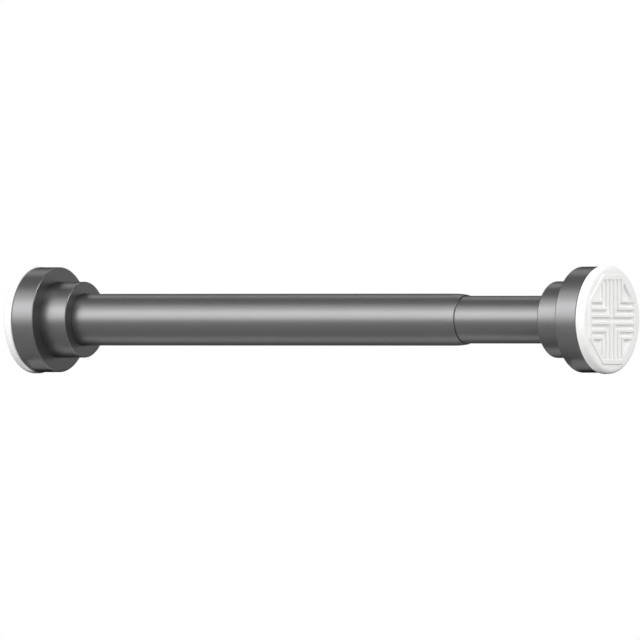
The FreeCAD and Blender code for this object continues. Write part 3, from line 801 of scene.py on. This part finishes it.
def spring_mesh():
    """The spring: open turns between two closed ones. Each closed turn lies flat on its seat for
    half a turn, and rises by a little over the wire in the other half."""
    size = sizes()
    start, end = extent("compression_spring")[:2]
    half_wire = size.spring_wire / 2
    closed_rise = size.spring_wire + size.spring_end_gap
    open_rise = (end - start - size.spring_wire - 2 * closed_rise) / size.spring_turns
    steps_per_turn = 36
    facets = 20
    all_turns = size.spring_turns + 2
    mesh = bmesh.new()
    rings = []
    for step in range(round(all_turns * steps_per_turn) + 1):
        turns = step / steps_per_turn
        along = start + half_wire + size.spring_turns * open_rise * ramp(turns, 1, all_turns - 1)
        along += closed_rise * ramp(turns, 0.5, 1)
        along += closed_rise * ramp(turns, all_turns - 1, all_turns - 0.5)
        outward = Vector((0.0, math.cos(FULL_TURN * turns), math.sin(FULL_TURN * turns)))
        ring = []
        for number in range(facets):
            angle = FULL_TURN * number / facets
            place = outward * (size.spring_radius + half_wire * math.cos(angle))
            ring.append(mesh.verts.new(place + Vector((along + half_wire * math.sin(angle), 0, 0))))
        rings.append(ring)
    for here, there in zip(rings, rings[1:]):
        bridge(mesh, here, there)
    mesh.faces.new(rings[0])
    mesh.faces.new(rings[-1])
    return mesh


def thread_stations(start, end, crest, depth, lead):
    """Stations of a right-hand thread that fades in and out over one turn at each end."""
    steps_per_lead = 12
    count = round((end - start) / lead * steps_per_lead)

    def station(number):
        x = start + (end - start) * number / count
        fade = min(1.0, (x - start) / lead, (end - x) / lead)

        def radius(angle):
            phase = ((x - start) / lead - angle / FULL_TURN) % 1.0
            return crest - depth * fade * ramp(abs(phase - 0.5), CREST_EDGE, ROOT_EDGE)

        return x, radius

    return [station(number) for number in range(count + 1)]


def hexagon(across_flats):
    """The radius of a hexagon at an angle, with a corner at angle zero."""
    sixth = math.pi / 3

    def radius(angle):
        return across_flats / 2 / math.cos(angle % sixth - sixth / 2)

    return radius


def spindle_mesh():
    """The lock spindle: thread, collar, hexagonal shank and the grooves for its two clips."""
    size = sizes()
    tip, end = extent("lock_spindle")[:2]
    collar_start, collar = extent("thrust_washer")[1:]
    collar_end = extent("compression_spring")[0]
    radius = size.spindle_diameter / 2
    root = radius - size.clip_groove
    bevel = size.clip_groove / 2
    slack = size.clip_slack
    stop_start, stop_end = extent("cone_stop_clip")[:2]
    tail_start, tail_end = extent("tail_clip")[:2]
    shank = hexagon(size.spindle_flats)
    chamfered = hexagon(size.spindle_flats - 2 * bevel)
    thread_start = stop_end + 2 * slack
    thread_end = extent("lock_sleeve")[1] - radius
    mesh = bmesh.new()
    stations = [
        (tip, 0.0),
        (tip, radius - bevel),
        (tip + bevel, radius),
        (stop_start - slack, radius),
        (stop_start - slack, root),
        (stop_end + slack, root),
        (stop_end + slack, radius),
    ]
    stations += thread_stations(
        thread_start, thread_end, radius, size.spindle_thread_depth, size.spindle_pitch)
    stations += [
        (collar_start, radius),
        (collar_start, collar - bevel),
        (collar_start + bevel, collar),
        (collar_end - bevel, collar),
        (collar_end, collar - bevel),
        (collar_end, shank),
        (tail_start - slack, shank),
        (tail_start - slack, root),
        (tail_end + slack, root),
        (tail_end + slack, shank),
        (end - bevel, shank),
        (end, chamfered),
        (end, 0.0),
    ]
    turn(mesh, stations, closed=False, segments=SEGMENTS // 2)
    return mesh


def screw_mesh():
    """The left cap screw: a domed head, a bare neck and a thread down to the point."""
    size = sizes()
    top, point, head = extent("left_cap_screw")
    seat = top + size.screw_head_height
    shank = size.screw_diameter / 2
    neck_end = seat + size.screw_pitch
    thread_end = point - shank
    thread_depth = shank / 4
    dome = size.screw_head_height / 2
    mesh = bmesh.new()
    stations = rounded([
        (top, 0.0, 0),
        (top, head - dome / 2, dome / 2),
        (top + dome, head, dome / 4),
        (seat, head, 0),
        (seat, shank, 0),
    ])
    stations += thread_stations(neck_end, thread_end, shank, thread_depth, size.screw_pitch)
    stations += [(point, 0.0)]
    turn(mesh, stations, closed=False, segments=SEGMENTS // 2)
    return mesh


class TENSIONROD_OT_tubes(bpy.types.Operator):
    """Make the two steel tubes"""

    bl_idname = "tension_rod.tubes"
    bl_label = "Tubes"

    def execute(self, context):
        add_piece("outer_tube_spun_steel", outer_tube_mesh(), "tube_finish", "outer_tube")
        add_piece("inner_tube_drawn_steel", inner_tube_mesh(), "tube_finish", "inner_tube")
        return {"FINISHED"}


class TENSIONROD_OT_end_caps(bpy.types.Operator):
    """Make the moulded end cap of each tube"""

    bl_idname = "tension_rod.end_caps"
    bl_label = "End caps"

    def execute(self, context):
        add_pair("end_cap_moulding", cap_mesh("outer_tube"), cap_mesh("inner_tube"),
                 "end_cap_plastic", "end_cap")
        return {"FINISHED"}


class TENSIONROD_OT_wall_pads(bpy.types.Operator):
    """Make the two ribbed silicone wall pads"""

    bl_idname = "tension_rod.wall_pads"
    bl_label = "Wall pads"

    def execute(self, context):
        add_pair("wall_pad_silicone", pad_mesh(), pad_mesh(), "wall_pad_rubber", "wall_pad")
        return {"FINISHED"}


class TENSIONROD_OT_spring(bpy.types.Operator):
    """Make the spring as a mesh of its own; the real spring shortens as the rod is pressed between two
    walls
    """

    bl_idname = "tension_rod.spring"
    bl_label = "Spring"

    def execute(self, context):
        piece = add_piece(
            "compression_spring_coil", spring_mesh(), "spring_steel", "compression_spring")
        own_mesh(piece)
        return {"FINISHED"}


class TENSIONROD_OT_threaded_pieces(bpy.types.Operator):
    """Make the threaded spindle and the two cap screws"""

    bl_idname = "tension_rod.threaded_pieces"
    bl_label = "Threaded pieces"

    def execute(self, context):
        add_piece("lock_spindle_threaded", spindle_mesh(), "zinc_plated_steel", "lock_spindle")
        add_pair(
            "cap_screw_threaded", screw_mesh(), screw_mesh(), "zinc_plated_steel", "cap_screw")
        return {"FINISHED"}


class TENSIONROD_OT_inner_finishes(bpy.types.Operator):
    """Give the pieces inside the tubes the finish of their slot"""

    bl_idname = "tension_rod.inner_finishes"
    bl_label = "Inner finishes"

    def execute(self, context):
        for part in frame["record"]["subparts"]:
            node = frame["nodes"][part["node"]]
            if not node.hide_render:
                node.material_slots[0].material = finish_for(part["material_slot"])
        return {"FINISHED"}


# The long softboxes: name, degrees up from the front, width, and place of the middle along the
# rod, in metres
SOFTBOXES = (
    ("low", 9.5, 0.72, -1.2),
    ("key", 30.0, 1.00, -1.2),
    ("high", 54.0, 1.00, -1.2),
    ("overhead", 84.0, 1.50, -1.2),
    ("back", 126.0, 1.00, -1.2),
    ("rear", 169.0, 0.86, 0.9),
)
# The strips of light under the rod: place across it and width, in metres. The last value is
# how high they lie above the floor.
UNDER_TUBES = (-0.006, 0.016)
UNDER_COLLARS = (-0.009, 0.012)
UNDER_FLANGES = (-0.0145, 0.011)
UNDER_LIGHT_RISE = 0.0005
# The square softboxes for the right end: name, place and side, in metres
END_SOFTBOXES = (
    ("end", (2.43, -0.16, 2.00), 0.9),
    ("side", (2.59, -1.70, 0.52), 1.1),
)


def add_softbox(name, position, aim, length, width, power):
    """A rectangular light whose length is as near to the rod's direction as its aim allows."""
    lamp = bpy.data.lights.new(name, "AREA")
    lamp.shape = "RECTANGLE"
    lamp.size = length
    lamp.size_y = width
    lamp.energy = power
    light = bpy.data.objects.new(name, lamp)
    light.visible_camera = False
    back = (Vector(position) - Vector(aim)).normalized()
    along = (Vector((1.0, 0.0, 0.0)) - back * back.x).normalized()
    turned = Matrix((along, back.cross(along), back)).transposed().to_4x4()
    light.matrix_world = Matrix.Translation(position) @ turned
    bpy.context.scene.collection.objects.link(light)


def hang_softboxes(studio):
    """Long softboxes on an arc around the rod, from low in front over the top to the back."""
    for name, degrees_up, width, along in SOFTBOXES:
        angle = math.radians(degrees_up)
        middle = Vector((along, 0.0, 0.0))
        place = middle + Vector((0.0, -math.cos(angle), math.sin(angle))) * studio.softbox_distance
        power = getattr(studio, name + "_power")
        add_softbox(
            name.capitalize() + " softbox", place, middle, studio.softbox_length, width, power)


def hang_end_softboxes(studio):
    """Square softboxes aimed at the right end, for its wall pad and the edges."""
    right_end = (CAD_BOX[1].x, 0.0, 0.0)
    for name, place, side in END_SOFTBOXES:
        power = getattr(studio, name + "_power")
        add_softbox(name.capitalize() + " softbox", place, right_end, side, side, power)


def lay_under_lights(studio):
    """Dim strips on the floor, under the lower front of the tubes, collars and flanges."""
    left, left_reach = extent("left_end_cap")[:2]
    right_reach, right = extent("right_end_cap")[:2]
    step = sizes().collar_depth
    for name, start, end, (across, width) in (
            ("tubes", left_reach, right_reach, UNDER_TUBES),
            ("left collar", left_reach - step, left_reach, UNDER_COLLARS),
            ("left flange", left, left_reach - step, UNDER_FLANGES),
            ("right collar", right_reach, right_reach + step, UNDER_COLLARS),
            ("right flange", right_reach + step, right, UNDER_FLANGES)):
        place = Vector(((start + end) / 2, across, CAD_BOX[0].z + UNDER_LIGHT_RISE))
        power = studio.under_power * (end - start) * width
        above = place + Vector((0.0, 0.0, 1.0))
        add_softbox("Under " + name, place, above, end - start, width, power)


def light_room(studio):
    """A white room to look at, which gives off only a little light."""
    world = bpy.data.worlds.new("Studio room")
    world.use_nodes = True
    tree = world.node_tree
    tree.nodes.clear()
    white = (1.0, 1.0, 1.0, 1.0)
    lighting = add_node(tree, "ShaderNodeBackground", {"Color": white, "Strength": studio.room_light})
    backdrop = add_node(tree, "ShaderNodeBackground", {"Color": white})
    seen = add_node(tree, "ShaderNodeLightPath").outputs["Is Camera Ray"]
    both = add_node(tree, "ShaderNodeMixShader", links={
        0: seen,
        1: lighting.outputs["Background"],
        2: backdrop.outputs["Background"],
    })
    add_node(tree, "ShaderNodeOutputWorld", links={"Surface": both.outputs["Shader"]})
    bpy.context.scene.world = world


def lay_floor(studio):
    """Pale paper under the lowest point of the rod, which lies on the rims of its pads."""
    mesh = bmesh.new()
    bmesh.ops.create_grid(mesh, x_segments=1, y_segments=1, size=studio.floor_size / 2)
    data = bpy.data.meshes.new("studio_floor")
    mesh.to_mesh(data)
    mesh.free()
    data.materials.append(matte_studio_paper())
    floor = bpy.data.objects.new("studio_floor", data)
    floor.location = (studio.aim_along, 0.0, CAD_BOX[0].z)
    bpy.context.scene.collection.objects.link(floor)


def place_camera(studio):
    """A long lens at floor height, turned towards the right end."""
    lens = bpy.data.cameras.new("Studio camera")
    lens.lens = studio.lens
    lens.sensor_width = SENSOR_WIDTH
    distance = studio.frame_width * studio.lens / SENSOR_WIDTH
    # Far beyond the rod and the floor
    lens.clip_end = distance * 4
    aim = Vector((studio.aim_along, 0.0, studio.aim_height))
    back = Vector((math.sin(studio.azimuth), -math.cos(studio.azimuth), 0.0))
    place = aim + back * distance
    place.z = CAD_BOX[0].z + studio.camera_clearance
    camera = bpy.data.objects.new("Studio camera", lens)
    camera.location = place
    level = Matrix.Rotation(studio.roll, 3, "Z")
    camera.rotation_euler = ((aim - place).to_track_quat("-Z", "Y").to_matrix() @ level).to_euler()
    bpy.context.scene.collection.objects.link(camera)
    bpy.context.scene.camera = camera


class TENSIONROD_OT_studio(bpy.types.Operator):
    """Set up the floor, the light and the camera"""

    bl_idname = "tension_rod.studio"
    bl_label = "Studio"

    def execute(self, context):
        studio = context.scene.rod_studio
        context.scene.view_settings.view_transform = "Standard"
        lay_floor(studio)
        light_room(studio)
        hang_softboxes(studio)
        lay_under_lights(studio)
        hang_end_softboxes(studio)
        place_camera(studio)
        return {"FINISHED"}


class TENSIONROD_PT_panel(bpy.types.Panel):
    """The rod's pieces, sizes and colours"""

    bl_label = "Spring tension rod"
    bl_idname = "TENSIONROD_PT_panel"
    bl_space_type = "VIEW_3D"
    bl_region_type = "UI"
    bl_category = "Tension rod"

    def draw(self, context):
        for operator in OPERATORS:
            self.layout.operator(operator.bl_idname)
        for heading, group in (
            ("Sizes", context.scene.rod_sizes),
            ("Colours", context.scene.rod_colours),
            ("Studio", context.scene.rod_studio),
        ):
            box = self.layout.box()
            box.label(text=heading)
            for name in group.__annotations__:
                box.prop(group, name)


GROUPS = {
    "rod_sizes": RodSizes,
    "rod_colours": RodColours,
    "rod_studio": StudioSettings,
}
OPERATORS = (
    TENSIONROD_OT_tubes,
    TENSIONROD_OT_end_caps,
    TENSIONROD_OT_wall_pads,
    TENSIONROD_OT_spring,
    TENSIONROD_OT_threaded_pieces,
    TENSIONROD_OT_inner_finishes,
    TENSIONROD_OT_studio,
)
CLASSES = (*GROUPS.values(), *OPERATORS, TENSIONROD_PT_panel)


def register():
    for cls in CLASSES:
        bpy.utils.register_class(cls)
    for name, group in GROUPS.items():
        setattr(bpy.types.Scene, name, PointerProperty(type=group))


def unregister():
    for name in GROUPS:
        delattr(bpy.types.Scene, name)
    for cls in reversed(CLASSES):
        bpy.utils.unregister_class(cls)


def main():
    register()
    bpy.ops.tension_rod.tubes()
    bpy.ops.tension_rod.end_caps()
    bpy.ops.tension_rod.wall_pads()
    bpy.ops.tension_rod.spring()
    bpy.ops.tension_rod.threaded_pieces()
    bpy.ops.tension_rod.inner_finishes()
    bpy.ops.tension_rod.studio()


if __name__ == "__main__":
    main()
